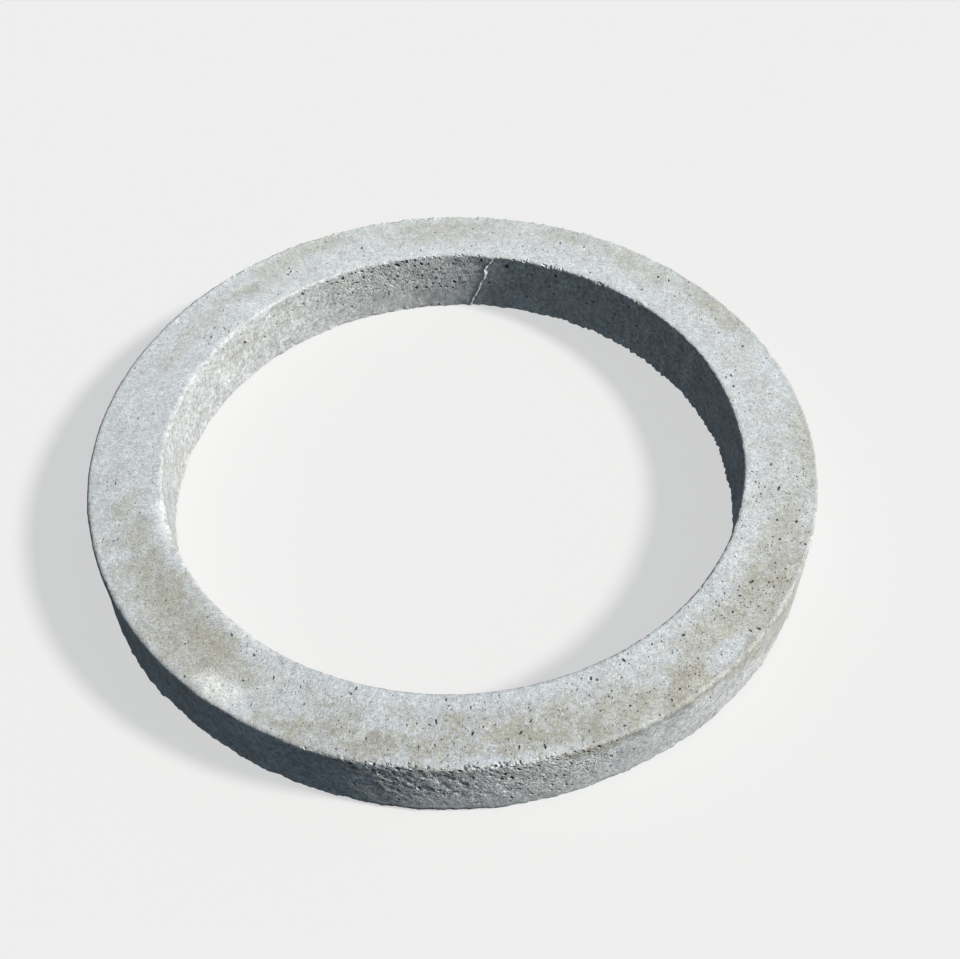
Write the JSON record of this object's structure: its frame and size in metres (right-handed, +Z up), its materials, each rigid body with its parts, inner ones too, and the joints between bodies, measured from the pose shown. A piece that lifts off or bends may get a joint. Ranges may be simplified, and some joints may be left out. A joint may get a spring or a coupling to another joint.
{
  "type": "concrete culvert ring",
  "caption": "Low precast concrete ring with a round bore, flat top and base faces and rounded upper edges, laid on a culvert or manhole shaft to raise its cover.",
  "frame": {"origin": "centre of the base face, where the ring stands", "axes": "+Z up along the bore axis, from the base face to the top face; the joint mark of the former in the bore lies near +Y"},
  "size_m": [0.75, 0.75, 0.08],
  "materials": {
    "concrete": "cast grey concrete, finely pitted, matt"
  },
  "bodies": {
    "root": {"concrete_ring": "concrete"}
  },
  "joints": []
}
